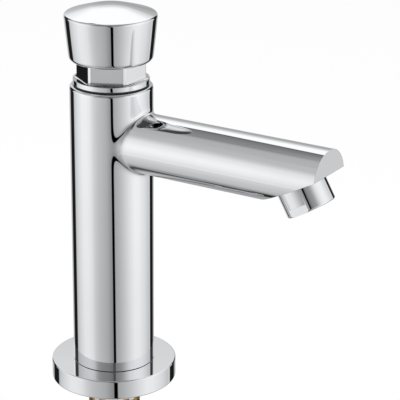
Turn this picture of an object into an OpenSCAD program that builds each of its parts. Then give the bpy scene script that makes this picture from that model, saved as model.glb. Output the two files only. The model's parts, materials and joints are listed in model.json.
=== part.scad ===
// Push-button timed basin tap: column with a fixed spout, a self-closing cartridge under the
// button, a jet outlet in the spout's nose, and a threaded shank with its clamp below the deck.
// Millimetres. The deck is the plane z = 0, the column stands on the Z axis, the spout points to +X.

/* [Column] */
// Diameter of the upright column
column_d = 34; // [32:0.5:38]
// Height of the column above the base flange
column_h = 120.5; // [110:0.5:150]
// Radius of the rounded edge at the top of the column
column_edge_r = 1.2; // [0.6:0.1:1.6]
// Diameter of the inlet chamber below the valve
inlet_chamber_d = 27; // [24:0.5:28]
// Diameter of the outlet chamber round the cartridge
outlet_chamber_d = 26; // [25.5:0.25:27.5]
// Length of the throat above the strainer
throat_h = 5; // [3:0.5:8]
// Diameter of the throat above the strainer
throat_d = 16; // [14:0.5:18]

/* [Base] */
// Diameter of the base flange
flange_d = 52.4; // [48:0.2:60]
// Thickness of the base flange
flange_h = 8.2; // [6:0.2:12]
// Radius of the flange's rounded upper edge
flange_edge_r = 0.8; // [0.3:0.1:2]
// Diameter of the spigot that centres the flange on the column
spigot_d = 26; // [25:0.5:29]
// Gap between the spigot's end and the deck
spigot_gap = 1.5; // [0.5:0.1:3]
// Outer diameter of the gasket in the flange's underside
base_gasket_d = 48.4; // [42:0.2:50]
// Width of the base gasket
base_gasket_w = 5; // [3:0.2:8]
// Depth of the base gasket
base_gasket_h = 3; // [2:0.2:5]

/* [Spout] */
// Diameter of the spout
spout_d = 24.8; // [22:0.2:28]
// Drop from the column's top to the spout's axis
spout_drop = 22.4; // [20:0.2:30]
// Reach from the column's axis to the spout's end face
spout_reach = 100; // [85:0.2:140]
// Diameter of the waterway along the spout
waterway_d = 16; // [12:0.5:17]
// Height of the end face's lower edge above the spout's axis
nose_rise = 2.35; // [0:0.05:4]
// Slope of the cut under the nose, from the spout's axis
nose_angle = 30; // [25:1:35]
// Wall between the waterway's round end and the cut under the nose
nose_wall = 1.5; // [1:0.1:3]

/* [Outlet] */
// Diameter of the outlet housing
outlet_d = 20; // [19:0.2:21]
// Length of the outlet housing below the nose
outlet_len = 9.4; // [7:0.1:14]
// Distance from the end face's lower edge to the outlet's axis, along the cut
outlet_offset = 13.5; // [12.5:0.1:15]
// Diameter of the thread that holds the outlet housing
outlet_thread_d = 17; // [16.4:0.1:17.6]
// Length of the thread that holds the outlet housing
outlet_thread_len = 5; // [4:0.5:6]
// Diameter of the bore inside the outlet housing
outlet_bore_d = 14.4; // [13:0.1:15]
// Depth of the two spanner flats on the outlet housing
outlet_flat_depth = 0.9; // [0.4:0.1:1.2]
// Height of the two spanner flats
outlet_flat_h = 3.2; // [2:0.1:5]
// Radius of the outlet housing's lower edge
outlet_edge_r = 0.7; // [0.3:0.1:1]
// Thickness of the lip that keeps the jet former in
outlet_lip_t = 1; // [0.6:0.1:2]
// Width of that lip
outlet_lip_w = 0.8; // [0.4:0.1:1.5]
// Height of the jet former
jet_h = 6.7; // [4:0.1:8]
// Thickness of the screen over the jet former
screen_t = 0.5; // [0.3:0.1:1]
// Height of the flow regulator
regulator_h = 3; // [2:0.1:4]
// Thickness of the outlet seal
outlet_seal_t = 1; // [0.8:0.1:2]
// Width of the outlet seal
outlet_seal_w = 2; // [1:0.1:3]

/* [Button] */
// Diameter of the button at its rim
button_rim_d = 37.4; // [36:0.2:46]
// Diameter of the button just above its rounded foot
button_foot_d = 34.4; // [33.6:0.2:42]
// Height of the button from its foot to its rim
button_h = 18.9; // [17:0.1:27]
// Height of the domed top above the rim
dome_h = 4.3; // [3:0.1:7]
// Radius of the rounded foot
button_foot_r = 2.3; // [1:0.1:2.4]
// Radius of the rim's edge
button_rim_r = 0.6; // [0.3:0.1:1.5]
// Thickness of the roof at the rim
button_roof_t = 2.3; // [1.6:0.1:3]
// How far the button travels
button_travel = 5; // [4:0.1:6]
// Gap left under the button when it is pressed home
button_stop_gap = 2.4; // [1:0.1:3]
// Diameter of the boss that holds the stem
boss_d = 13; // [11:0.2:13.6]

/* [Bonnet] */
// Width of the bonnet's hexagon across flats
hex_af = 25; // [24:0.2:26]
// Diameter to which the hexagon's corners are turned
hex_corner_d = 28.2; // [28:0.1:29]
// Turn of the hexagon, as tightened
hex_turn = 26; // [0:1:59]
// How far the hexagon reaches into the button
hex_cover = 2.1; // [1.6:0.1:4]
// Diameter of the bonnet's collar
collar_d = 31.2; // [29.4:0.2:33]
// Thickness of the bonnet's collar
collar_h = 2.1; // [1.5:0.1:4]
// Diameter of the thread between bonnet and column
bonnet_thread_d = 28; // [27.8:0.1:29]
// Length of that thread
bonnet_thread_len = 8.7; // [7:0.1:11]
// Diameter of the gasket under the collar
bonnet_gasket_d = 30.6; // [29:0.2:32]
// Thickness of the gasket under the collar
bonnet_gasket_h = 0.7; // [0.4:0.1:1.2]
// Diameter of the bush that guides the stem
bush_d = 12.9; // [12.4:0.1:14]
// Length of the bush
bush_len = 5.3; // [4:0.1:7]
// How far the bush stands above the hexagon
bush_proud = 0.5; // [0.2:0.1:1]
// Wire diameter of the stem's O-ring
stem_oring_w = 2; // [1.6:0.1:2.2]

/* [Cartridge] */
// Diameter of the stem
stem_d = 8; // [7:0.1:9]
// Diameter of the stem's waist through the piston
stem_waist_d = 7; // [6:0.1:7.4]
// Diameter of the stem's thread at the poppet
stem_tail_d = 6; // [5:0.1:6.4]
// Diameter of the stem's collar above the lip seal
stem_collar_d = 10.4; // [9:0.2:12]
// Thickness of the stem's collar
stem_collar_h = 1.3; // [1:0.1:2]
// Bore of the timing sleeve
sleeve_bore_d = 17; // [16:0.1:17.6]
// Wall of the timing sleeve
sleeve_wall = 1.5; // [1.2:0.1:1.8]
// Length of the timing sleeve below the bonnet
sleeve_drop = 17; // [15:0.1:20]
// Height of the sleeve's collar
sleeve_collar_h = 1.5; // [1:0.1:2.5]
// Width of the sleeve's collar
sleeve_collar_w = 1.5; // [1:0.1:2]
// Thickness of the gasket above the sleeve
sleeve_gasket_h = 0.8; // [0.5:0.1:1.5]
// How far the sleeve reaches into the bonnet
sleeve_engage = 6; // [4:0.1:6.5]
// Space beside the bleed jet, between lip seal and sleeve collar
bleed_space = 3.5; // [2.5:0.1:5]
// Diameter of the bleed jet
bleed_jet_d = 1.6; // [1:0.1:2]
// Diameter of the bleed jet's drilling
bleed_bore_d = 0.4; // [0.3:0.05:0.6]
// Height of the lip seal
lip_seal_h = 3.5; // [2.5:0.1:4.5]
// Thickness of the lip seal's lip
lip_t = 1; // [0.8:0.1:1.4]
// Height of the timing piston
piston_h = 5.5; // [4:0.1:6]
// Thickness of the piston clip
clip_t = 1; // [0.6:0.1:1.4]
// Diameter of the piston clip
clip_d = 12; // [10:0.2:14]
// Height of the cage's open part
cage_open_h = 13; // [11:0.1:15]
// Thickness of the cage's floor above the column's web
cage_floor_t = 1; // [0.6:0.1:1.6]
// Height of each window in the cage
window_h = 9; // [6:0.1:10]
// Width of each window in the cage
window_w = 9; // [6:0.1:11]
// Number of windows in the cage
window_n = 4; // [3:1:5]
// Length of the cage's nose in the column's web
cage_nose_h = 8; // [7:0.1:10]
// Diameter of the cage's nose
cage_nose_d = 21.8; // [21:0.1:22.4]
// How far the cage's cup holds the sleeve
cage_cup_h = 3; // [2:0.1:4]
// Wire diameter of the cage's O-ring
cage_oring_w = 1.9; // [1.5:0.1:2.2]
// Diameter of the valve's orifice
orifice_d = 12; // [10:0.1:12.6]
// Width of the raised seat round the orifice
seat_lip_w = 0.8; // [0.5:0.1:1.2]
// Height of the raised seat
seat_lip_h = 0.7; // [0.4:0.1:1.2]
// Diameter of the poppet
poppet_d = 17.2; // [16:0.1:18]
// Wall of the poppet's cup
poppet_wall = 0.7; // [0.5:0.1:1]
// Thickness of the poppet's floor
poppet_floor_t = 3.5; // [2:0.1:4]
// Thickness of the poppet's washer
poppet_washer_t = 2.5; // [1.5:0.1:3]
// How far the washer stands out of the poppet's cup
poppet_washer_proud = 0.7; // [0.3:0.1:1]
// Width of the poppet's nut across flats
poppet_nut_af = 10; // [9:0.5:11]
// Thickness of the poppet's nut
poppet_nut_h = 4; // [3:0.1:5]
// How far the stem stands below the poppet's nut
stem_tail_proud = 1.3; // [0.5:0.1:3]

/* [Spring] */
// Mean diameter of the return spring
spring_d = 16.8; // [16.4:0.1:18]
// Wire diameter of the return spring
spring_wire_d = 1.6; // [1.2:0.1:1.8]
// Turns of the return spring
spring_turns = 4; // [3:0.5:5]
// Thickness of the washer under the spring
spring_washer_t = 0.8; // [0.5:0.1:1.2]
// Diameter of the washer under the spring
spring_washer_d = 21; // [20.5:0.5:23]
// Width of the stem's lock nut across flats
locknut_af = 11; // [10:0.5:11.5]
// Thickness of the stem's lock nut
locknut_h = 2.8; // [2:0.1:3.2]

/* [Shank and clamp] */
// Diameter over the shank's fixing thread
shank_d = 22; // [21.5:0.1:22.8]
// Length of the shank below the deck
shank_len = 55; // [52:0.5:80]
// Diameter over the pipe thread at the shank's free end
tail_d = 20.96; // [20.5:0.02:21.2]
// Length of the pipe thread
tail_len = 15; // [12:0.5:18]
// Chamfer at the end of the pipe thread
tail_chamfer = 1; // [0.5:0.1:1.5]
// Bore of the shank
shank_bore_d = 12; // [10:0.1:13]
// How far the shank screws into the column
shank_engage = 15.7; // [12:0.1:20]
// Width of the hexagon socket in the shank's end
socket_af = 12.2; // [12:0.1:14]
// Depth of that socket
socket_depth = 8; // [5:0.5:12]
// Thickness of the strainer's flange
strainer_flange_t = 1; // [0.6:0.1:1.5]
// Outer diameter of the strainer's cup
strainer_d = 11.6; // [10:0.1:13]
// Wall of the strainer's cup
strainer_wall = 0.6; // [0.4:0.1:1]
// Height of the strainer's cup
strainer_h = 12; // [8:0.5:16]
// Thickness of the seal above the strainer
shank_seal_t = 0.8; // [0.5:0.1:1.5]
// Thickness of the deck that the clamp is set to
deck_t = 24; // [8:0.5:25]
// Diameter of the bush that centres the shank in the deck's hole
deck_bush_d = 27.2; // [24:0.2:34]
// Length of that bush
deck_bush_h = 7.5; // [4:0.5:7.5]
// Wall of the bush's sleeve, round the shank
deck_bush_wall = 0.7; // [0.5:0.1:0.7]
// Number of ribs from that sleeve to the deck's hole
deck_bush_ribs = 16; // [8:1:20]
// Width of a rib
deck_bush_rib_w = 2; // [1.2:0.1:2.6]
// Diameter of the rubber washer under the deck
deck_washer_d = 44; // [36:0.5:48]
// Thickness of the rubber washer
deck_washer_t = 3; // [2:0.1:5]
// Diameter of the metal washer
metal_washer_d = 40; // [34.5:0.5:44]
// Thickness of the metal washer
metal_washer_t = 1.2; // [0.8:0.1:2]
// Width of the backnut across flats
backnut_af = 30; // [27:0.5:32]
// Thickness of the backnut
backnut_h = 9; // [7:0.1:10]

/* [Clearances] */
// Radial gap of a screwed or seated fit
fit_gap = 0.05; // [0.03:0.01:0.08]
// Radial gap of a loose fit
loose_gap = 0.2; // [0.1:0.05:0.3]
// Radial gap between the hexagon's corners and the button
skirt_gap = 0.32; // [0.2:0.02:0.5]
// Gap above the bush when the button is pressed home
nut_gap = 0.9; // [0.5:0.1:1.5]

/* [Hidden] */
$fn = 64;
arc_steps = 6;         // straight steps in a rounded edge
dome_steps = 14;       // straight steps across the dome
spring_sides = 8;      // sides of the spring's wire
spring_rings = 16;     // rings in one turn of the spring
jet_pitch = 2.6;       // spacing of the holes in the jet former
jet_hole_d = 1.7;      // diameter of those holes
screen_pitch = 1.9;    // spacing of the holes in the screens
screen_hole_d = 1.1;   // diameter of those holes
through = 1;           // how far a cut runs past the face it opens

// Heights above the deck, from the base up
z_column = flange_h;
z_body = z_column + column_h;
z_collar = z_body + bonnet_gasket_h;
z_hex = z_collar + collar_h;
z_skirt = z_hex + button_travel + button_stop_gap;
z_rim = z_skirt + button_h;
z_apex = z_rim + dome_h;
z_roof = z_rim - button_roof_t;
z_hex_top = z_skirt + hex_cover;
z_bush_top = z_hex_top + bush_proud;
z_bush = z_bush_top - bush_len;
z_gland = z_bush - stem_oring_w - 2 * fit_gap;
z_locknut = z_bush_top + button_travel + nut_gap;
z_boss = z_locknut + locknut_h;
z_stem_top = z_roof;
z_spring = z_hex_top + spring_washer_t;

// Heights of the cartridge, from the column's top down
z_bonnet = z_body - bonnet_thread_len;
z_sleeve_top = z_bonnet + sleeve_engage;
z_timing_roof = z_sleeve_top + sleeve_gasket_h;
z_sleeve_collar = z_bonnet - sleeve_collar_h;
z_sleeve = z_bonnet - sleeve_drop;
z_seal_top = z_sleeve_collar - bleed_space;
z_piston_top = z_seal_top - lip_seal_h;
z_piston = z_piston_top - piston_h;
z_clip = z_piston - clip_t;
z_web_top = z_sleeve - cage_open_h;
z_nose = z_web_top - cage_nose_h;
z_seat = z_nose - seat_lip_h;
z_washer = z_seat - poppet_washer_t;
z_poppet = z_washer - poppet_floor_t;
z_poppet_nut = z_poppet - poppet_nut_h;
z_stem = z_poppet_nut - stem_tail_proud;

// Heights of the inlet, from the deck
z_shank_top = spigot_gap + shank_engage;
z_strainer_top = z_shank_top + strainer_flange_t;
z_throat = z_strainer_top + shank_seal_t;
z_chamber = z_throat + throat_h;

// Heights of the clamp, from the deck down
z_deck_washer = -deck_t - deck_washer_t;
z_metal_washer = z_deck_washer - metal_washer_t;
z_backnut = z_metal_washer - backnut_h;

// Sizes that follow from a mating piece
z_spout = z_body - spout_drop;
skirt_bore_d = hex_af / cos(30) + 2 * skirt_gap;
sleeve_d = sleeve_bore_d + 2 * sleeve_wall;
cage_d = sleeve_d + 2 * (fit_gap + sleeve_collar_w);
nose_seat = [spout_reach - outlet_offset * cos(nose_angle), 0,
             z_spout + nose_rise - outlet_offset * sin(nose_angle)];
waterway_end = spout_reach
    - (nose_wall + waterway_d / 2 + nose_rise * cos(nose_angle)) / sin(nose_angle);
outlet_floor = outlet_lip_t - outlet_len;

// Points of an arc about a centre
function arc(centre, r, from, to, steps = arc_steps) =
    [for (i = [0:steps]) let (a = from + (to - from) * i / steps) centre + r * [cos(a), sin(a)]];

// Points of a hexagonal grid that lie within a circle
function grid_points(pitch, r) =
    let (n = ceil(r / pitch) + 1)
    [for (i = [-n:n], j = [-n:n])
        let (p = pitch * [i + j / 2, j * sin(60)]) if (norm(p) <= r) p];

module rod(d, z0, z1) {
    translate([0, 0, z0]) cylinder(d = d, h = z1 - z0);
}

module ring(d_out, d_in, z0, z1) {
    difference() {
        rod(d_out, z0, z1);
        rod(d_in, z0 - through, z1 + through);
    }
}

module hex_rod(af, z0, z1) {
    translate([0, 0, z0]) cylinder(d = af / cos(30), h = z1 - z0, $fn = 6);
}

// A hexagon nut with its corners turned off at both faces
module hex_nut(af, bore_d, z0, z1) {
    face_r = 0.95 * af / 2;
    corner_r = af / cos(30) / 2 + through;
    turned_h = (corner_r - face_r) * tan(30);
    difference() {
        intersection() {
            hex_rod(af, z0, z1);
            rotate_extrude() polygon([[0, z0], [face_r, z0], [corner_r, z0 + turned_h],
                [corner_r, z1 - turned_h], [face_r, z1], [0, z1]]);
        }
        rod(bore_d, z0 - through, z1 + through);
    }
}

module torus(mean_d, wire_d, z) {
    translate([0, 0, z]) rotate_extrude() translate([mean_d / 2, 0]) circle(d = wire_d);
}

// Places a piece at the nose: its Z axis runs up into the spout, square to the cut
module at_nose() {
    translate(nose_seat) rotate([0, -nose_angle, 0]) children();
}

module column_blank() {
    r = column_d / 2;
    translate([0, 0, z_column]) rotate_extrude() polygon(concat(
        [[0, 0], [r, 0]],
        arc([r - column_edge_r, column_h - column_edge_r], column_edge_r, 0, 90),
        [[0, column_h]]));
}

module spout_blank() {
    size = 2 * spout_d;
    difference() {
        translate([0, 0, z_spout]) rotate([0, 90, 0]) cylinder(d = spout_d, h = spout_reach);
        at_nose() translate([-size, -size / 2, -size]) cube([2 * size, size, size]);
    }
}

module body() {
    color("silver") difference() {
        union() {
            column_blank();
            spout_blank();
            rod(spigot_d, spigot_gap, z_column + through);
        }
        rod(shank_d + 2 * fit_gap, spigot_gap - through, z_throat);
        rod(throat_d, z_throat - through, z_chamber + through);
        rod(inlet_chamber_d, z_chamber, z_nose);
        rod(cage_nose_d + 2 * fit_gap, z_nose - through, z_web_top + through);
        rod(outlet_chamber_d, z_web_top, z_bonnet + through);
        rod(bonnet_thread_d + 2 * fit_gap, z_bonnet, z_body + through);
        translate([0, 0, z_spout]) rotate([0, 90, 0]) cylinder(d = waterway_d, h = waterway_end);
        translate([waterway_end, 0, z_spout]) sphere(d = waterway_d);
        at_nose() rod(outlet_thread_d + 2 * fit_gap, -through, outlet_thread_len + outlet_seal_t);
    }
}

module base_flange() {
    r = flange_d / 2;
    color("silver") difference() {
        rotate_extrude() polygon(concat(
            [[0, 0], [r, 0]],
            arc([r - flange_edge_r, flange_h - flange_edge_r], flange_edge_r, 0, 90),
            [[0, flange_h]]));
        rod(spigot_d + 2 * loose_gap, -through, flange_h + through);
        ring(base_gasket_d + 2 * loose_gap, base_gasket_d - 2 * base_gasket_w - 2 * loose_gap,
             -through, base_gasket_h);
    }
}

module base_gasket() {
    color("dimgray") ring(base_gasket_d, base_gasket_d - 2 * base_gasket_w, 0, base_gasket_h);
}

module inlet_shank() {
    tail_r = tail_d / 2;
    color("goldenrod") difference() {
        rotate_extrude() polygon([[0, -shank_len], [tail_r - tail_chamfer, -shank_len],
            [tail_r, tail_chamfer - shank_len], [tail_r, tail_len - shank_len],
            [shank_d / 2, tail_len - shank_len], [shank_d / 2, z_shank_top], [0, z_shank_top]]);
        rod(shank_bore_d, -shank_len - through, z_shank_top + through);
        hex_rod(socket_af, -shank_len - through, socket_depth - shank_len);
    }
}

module shank_seal() {
    color("dimgray") ring(shank_d - 2 * fit_gap, throat_d + 2 * loose_gap, z_strainer_top, z_throat);
}

module inlet_strainer() {
    inner_d = strainer_d - 2 * strainer_wall;
    top = z_strainer_top + strainer_h;
    color("lightgray") difference() {
        union() {
            rod(shank_d - 2 * fit_gap, z_shank_top, z_strainer_top);
            rod(strainer_d, z_shank_top, top);
        }
        rod(inner_d, z_shank_top - through, top - strainer_wall);
        for (p = grid_points(screen_pitch, inner_d / 2 - screen_hole_d))
            translate(p) rod(screen_hole_d, top - 2 * strainer_wall, top + through);
    }
}

module deck_bush() {
    bore_d = shank_d + 2 * loose_gap;
    color("white") {
        ring(bore_d + 2 * deck_bush_wall, bore_d, -deck_bush_h, 0);
        intersection() {
            ring(deck_bush_d, bore_d + deck_bush_wall, -deck_bush_h, 0);
            for (i = [0 : deck_bush_ribs - 1])
                rotate(i * 360 / deck_bush_ribs)
                    translate([0, -deck_bush_rib_w / 2, -deck_bush_h])
                        cube([deck_bush_d, deck_bush_rib_w, deck_bush_h]);
        }
    }
}

module deck_washer() {
    color("dimgray") ring(deck_washer_d, shank_d + 2 * loose_gap, z_deck_washer, -deck_t);
}

module metal_washer() {
    color("lightgray") ring(metal_washer_d, shank_d + 2 * loose_gap, z_metal_washer, z_deck_washer);
}

module backnut() {
    color("goldenrod") hex_nut(backnut_af, shank_d + 2 * fit_gap, z_backnut, z_metal_washer);
}

module outlet_housing() {
    r = outlet_d / 2;
    flat_x = r - outlet_flat_depth;
    color("silver") at_nose() difference() {
        union() {
            rotate_extrude() polygon(concat(
                [[0, 0], [0, -outlet_len]],
                arc([r - outlet_edge_r, outlet_edge_r - outlet_len], outlet_edge_r, -90, 0),
                [[r, 0]]));
            rod(outlet_thread_d, -through, outlet_thread_len);
        }
        rod(outlet_bore_d, outlet_floor, outlet_thread_len + through);
        rod(outlet_bore_d - 2 * outlet_lip_w, -outlet_len - through, outlet_floor + through);
        for (side = [-1, 1])
            translate([-r, side * (flat_x + r) - r, -outlet_len - through])
                cube([outlet_d, outlet_d, outlet_flat_h + through]);
    }
}

module jet_former() {
    d = outlet_bore_d - 2 * fit_gap;
    color("white") at_nose() difference() {
        rod(d, outlet_floor, outlet_floor + jet_h);
        for (p = grid_points(jet_pitch, d / 2 - outlet_lip_w - jet_hole_d))
            translate(p) rod(jet_hole_d, outlet_floor - through, outlet_floor + jet_h + through);
    }
}

module jet_screen() {
    d = outlet_bore_d - 2 * fit_gap;
    z = outlet_floor + jet_h;
    color("lightgray") at_nose() difference() {
        rod(d, z, z + screen_t);
        for (p = grid_points(screen_pitch, d / 2 - screen_hole_d))
            translate(p) rod(screen_hole_d, z - through, z + screen_t + through);
    }
}

module flow_regulator() {
    d = outlet_bore_d - 2 * fit_gap;
    z = outlet_floor + jet_h + screen_t;
    spoke_d = d / 4;
    color("seagreen") at_nose() difference() {
        rod(d, z, z + regulator_h);
        for (a = [0:60:300])
            rotate(a) translate([d / 4, 0]) rod(spoke_d * 0.75, z - through, z + regulator_h + through);
    }
}

module outlet_seal() {
    color("dimgray") at_nose() ring(outlet_thread_d, outlet_thread_d - 2 * outlet_seal_w,
        outlet_thread_len, outlet_thread_len + outlet_seal_t);
}

module bonnet_nut() {
    color("silver") difference() {
        union() {
            rod(bonnet_thread_d, z_bonnet, z_collar + through);
            rod(collar_d, z_collar, z_hex);
            intersection() {
                rotate(hex_turn) hex_rod(hex_af, z_hex - through, z_hex_top);
                rod(hex_corner_d, z_collar, z_hex_top + through);
            }
        }
        rod(sleeve_d + 2 * fit_gap, z_bonnet - through, z_timing_roof);
        rod(stem_d + 2 * loose_gap, z_timing_roof - through, z_gland + through);
        rod(bush_d + 2 * fit_gap, z_gland, z_hex_top + through);
    }
}

module bonnet_gasket() {
    color("black") ring(bonnet_gasket_d, bonnet_thread_d + 2 * fit_gap, z_body, z_collar);
}

module stem_bush() {
    color("ivory") ring(bush_d, stem_d + 2 * fit_gap, z_bush, z_bush_top);
}

module stem_oring() {
    color("black") torus((stem_d + bush_d + 2 * fit_gap) / 2, stem_oring_w, (z_gland + z_bush) / 2);
}

module timing_sleeve() {
    jet_z = z_sleeve_collar - bleed_space / 2;
    color("goldenrod") difference() {
        union() {
            rod(sleeve_d, z_sleeve, z_sleeve_top);
            rod(sleeve_d + 2 * sleeve_collar_w, z_sleeve_collar, z_bonnet);
        }
        rod(sleeve_bore_d, z_sleeve - through, z_sleeve_top + through);
        translate([0, 0, jet_z]) rotate([0, 90, 0]) cylinder(d = bleed_jet_d + fit_gap, h = sleeve_d);
    }
}

module sleeve_gasket() {
    color("dimgray") ring(sleeve_d, sleeve_bore_d, z_sleeve_top, z_timing_roof);
}

module bleed_jet() {
    jet_z = z_sleeve_collar - bleed_space / 2;
    inner = sleeve_bore_d / 2 + fit_gap;
    color("gold") translate([inner, 0, jet_z]) rotate([0, 90, 0]) difference() {
        cylinder(d = bleed_jet_d, h = sleeve_wall);
        translate([0, 0, -through]) cylinder(d = bleed_bore_d, h = sleeve_wall + 2 * through);
    }
}

module valve_cage() {
    window_z = z_web_top + (cage_open_h - window_h) / 2;
    groove_z = z_nose + cage_nose_h / 2;
    groove_d = cage_nose_d - 2 * cage_oring_w;
    color("ivory") difference() {
        union() {
            rod(orifice_d + 2 * seat_lip_w, z_seat, z_nose + through);
            rod(cage_nose_d, z_nose, z_web_top + through);
            rod(cage_d, z_web_top, z_sleeve + cage_cup_h);
        }
        rod(orifice_d, z_seat - through, z_web_top + cage_floor_t + through);
        rod(sleeve_bore_d, z_web_top + cage_floor_t, z_sleeve + through);
        rod(sleeve_d + 2 * fit_gap, z_sleeve, z_sleeve + cage_cup_h + through);
        ring(cage_nose_d + 2 * through, groove_d, groove_z - cage_oring_w / 2 - fit_gap,
             groove_z + cage_oring_w / 2 + fit_gap);
        for (i = [0:window_n - 1])
            rotate(45 + i * 360 / window_n) translate([0, -window_w / 2, window_z])
                cube([cage_d, window_w, window_h]);
    }
}

module cage_oring() {
    color("black") torus(cage_nose_d - cage_oring_w + fit_gap, cage_oring_w, z_nose + cage_nose_h / 2);
}

module push_button() {
    rim_r = button_rim_d / 2;
    foot_r = button_foot_d / 2;
    dome_r = (rim_r * rim_r + dome_h * dome_h) / (2 * dome_h);
    dome_angle = asin(rim_r / dome_r);
    color("silver") difference() {
        rotate_extrude() polygon(concat(
            [[0, z_skirt]],
            arc([foot_r - button_foot_r, z_skirt + button_foot_r], button_foot_r, -90, 0),
            arc([rim_r - button_rim_r, z_rim - button_rim_r], button_rim_r, 0, 90 - dome_angle),
            [for (p = arc([0, z_apex - dome_r], dome_r, 90 - dome_angle, 90, dome_steps))
                if (p[0] < rim_r - button_rim_r) p]));
        difference() {
            rod(skirt_bore_d, z_skirt - through, z_roof);
            rod(boss_d, z_boss, z_roof + through);
        }
        rod(stem_d + 2 * fit_gap, z_boss - through, z_stem_top + fit_gap);
    }
}

module button_locknut() {
    color("goldenrod") hex_nut(locknut_af, stem_d + 2 * fit_gap, z_locknut, z_boss);
}

module stem() {
    color("lightgray") difference() {
        union() {
            rod(stem_tail_d, z_stem, z_seat + through);
            rod(stem_waist_d, z_seat, z_seal_top + through);
            rod(stem_collar_d, z_seal_top, z_seal_top + stem_collar_h);
            rod(stem_d, z_seal_top, z_stem_top);
        }
        ring(stem_waist_d + 2 * through, stem_tail_d, z_clip, z_piston);
    }
}

module lip_seal() {
    d = sleeve_bore_d - 2 * fit_gap;
    hub_d = stem_waist_d + 2 * fit_gap + 2 * lip_t;
    color("black") difference() {
        ring(d, stem_waist_d + 2 * fit_gap, z_piston_top, z_seal_top);
        ring(d - 2 * lip_t, hub_d, z_piston_top + lip_t, z_seal_top + through);
    }
}

module timing_piston() {
    color("ivory") ring(sleeve_bore_d - 2 * loose_gap, stem_waist_d + 2 * fit_gap, z_piston, z_piston_top);
}

module piston_clip() {
    color("lightgray") difference() {
        ring(clip_d, stem_tail_d + 2 * fit_gap, z_clip + fit_gap, z_piston);
        translate([0, -stem_tail_d / 2, z_clip - through])
            cube([clip_d, stem_tail_d, clip_t + 2 * through]);
    }
}

module poppet_washer() {
    color("black") ring(poppet_d - 2 * poppet_wall - 2 * fit_gap, stem_tail_d + 2 * fit_gap, z_washer, z_seat);
}

module poppet() {
    color("goldenrod") difference() {
        rod(poppet_d, z_poppet, z_seat - poppet_washer_proud);
        rod(poppet_d - 2 * poppet_wall, z_washer, z_seat);
        rod(stem_tail_d + 2 * fit_gap, z_poppet - through, z_washer + through);
    }
}

module poppet_nut() {
    color("lightgray") hex_nut(poppet_nut_af, stem_tail_d + 2 * fit_gap, z_poppet_nut, z_poppet);
}

module spring_washer() {
    color("lightgray") ring(spring_washer_d, bush_d + 2 * loose_gap, z_hex_top, z_spring);
}

// One unbroken wire wound round the Z axis, from the washer up to the button's roof
module return_spring() {
    low = z_spring + spring_wire_d / 2 + fit_gap;
    high = z_roof - spring_wire_d / 2 - fit_gap;
    rings = ceil(spring_turns * spring_rings);
    slope = atan((high - low) / (PI * spring_d * spring_turns));
    points = [for (i = [0:rings], j = [0:spring_sides - 1])
        let (turn = 360 * spring_turns * i / rings,
             side = 360 * j / spring_sides,
             out = spring_wire_d / 2 * cos(side),
             up = spring_wire_d / 2 * sin(side))
        [(spring_d / 2 + out) * cos(turn) + up * sin(slope) * sin(turn),
         (spring_d / 2 + out) * sin(turn) - up * sin(slope) * cos(turn),
         low + (high - low) * i / rings + up * cos(slope)]];
    at = function (i, j) i * spring_sides + j % spring_sides;
    sides = [for (i = [0:rings - 1], j = [0:spring_sides - 1]) each [
        [at(i, j), at(i, j + 1), at(i + 1, j + 1)],
        [at(i, j), at(i + 1, j + 1), at(i + 1, j)]]];
    caps = [[for (j = [spring_sides - 1:-1:0]) at(0, j)], [for (j = [0:spring_sides - 1]) at(rings, j)]];
    color("lightgray") polyhedron(points, concat(sides, caps));
}

body();
base_flange();
base_gasket();
inlet_shank();
shank_seal();
inlet_strainer();
deck_bush();
deck_washer();
metal_washer();
backnut();
outlet_housing();
jet_former();
jet_screen();
flow_regulator();
outlet_seal();
bonnet_nut();
bonnet_gasket();
stem_bush();
stem_oring();
timing_sleeve();
sleeve_gasket();
bleed_jet();
valve_cage();
cage_oring();
push_button();
button_locknut();
stem();
lip_seal();
timing_piston();
piston_clip();
poppet_washer();
poppet();
poppet_nut();
spring_washer();
return_spring();
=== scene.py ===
"""The push timed tap in a studio.

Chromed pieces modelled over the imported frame, finishes for all pieces, the room, and the camera.
"""

import json
import math

import bpy
from mathutils import Matrix, Vector


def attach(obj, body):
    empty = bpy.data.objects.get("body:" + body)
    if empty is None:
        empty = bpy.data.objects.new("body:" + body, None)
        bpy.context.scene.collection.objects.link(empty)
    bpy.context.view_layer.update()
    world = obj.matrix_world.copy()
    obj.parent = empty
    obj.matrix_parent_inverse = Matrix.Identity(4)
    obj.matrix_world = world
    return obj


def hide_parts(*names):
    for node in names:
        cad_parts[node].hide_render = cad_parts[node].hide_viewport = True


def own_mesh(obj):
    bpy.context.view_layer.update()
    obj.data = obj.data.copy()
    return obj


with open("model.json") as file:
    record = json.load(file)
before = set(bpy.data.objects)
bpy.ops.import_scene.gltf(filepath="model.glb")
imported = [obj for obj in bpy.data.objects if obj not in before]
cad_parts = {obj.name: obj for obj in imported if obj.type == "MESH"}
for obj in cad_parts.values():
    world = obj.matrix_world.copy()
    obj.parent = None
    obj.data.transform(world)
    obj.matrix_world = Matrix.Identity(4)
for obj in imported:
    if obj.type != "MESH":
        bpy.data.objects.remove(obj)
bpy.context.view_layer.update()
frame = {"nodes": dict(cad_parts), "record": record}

# Sizes in millimetres and heights above the deck, mostly as in the part's source. Rounds, the button's
# dome, the cut under the nose, the seam under the column and the threads are the scene's own.
MM = 0.001
CLEARANCE, OVERCUT = 0.2, 1.0
SMOOTH_ANGLE = math.radians(30)

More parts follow.
